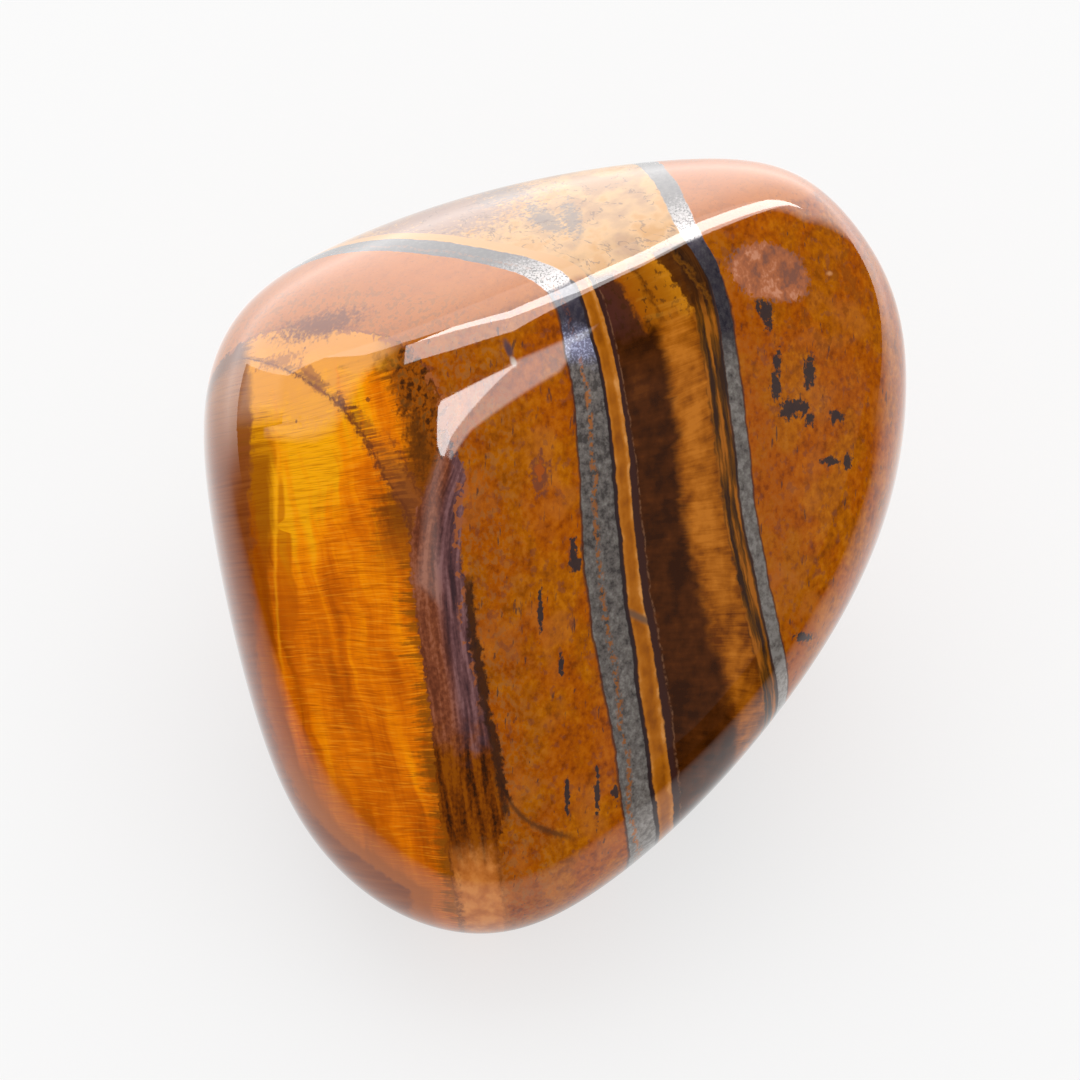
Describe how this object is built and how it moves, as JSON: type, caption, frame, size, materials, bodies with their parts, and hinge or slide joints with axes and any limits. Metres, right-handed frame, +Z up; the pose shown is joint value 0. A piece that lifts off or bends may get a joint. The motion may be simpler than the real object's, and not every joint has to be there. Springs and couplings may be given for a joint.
{
  "type": "tumbled tiger's eye stone",
  "caption": "Tumbled and polished tiger's eye pebble with worn flat faces, silky golden fibre layer, orange jasper and grey hematite bands, resting on a flat spot.",
  "frame": {"origin": "under the middle of the stone's bounding box, on the flat spot that it rests on", "axes": "+Z up out of the resting spot, the shortest way through the stone; +Y from the blunt tip, which points to -Y, to the broad back; +X to the right of the face that shows the banding"},
  "size_m": [0.0238, 0.0238, 0.0187],
  "materials": {
    "polished_tigers_eye": "polished by tumbling, glassy, banded golden brown with orange jasper and grey hematite layers"
  },
  "bodies": {
    "root": {"tigers_eye_stone": "polished_tigers_eye"}
  },
  "joints": []
}
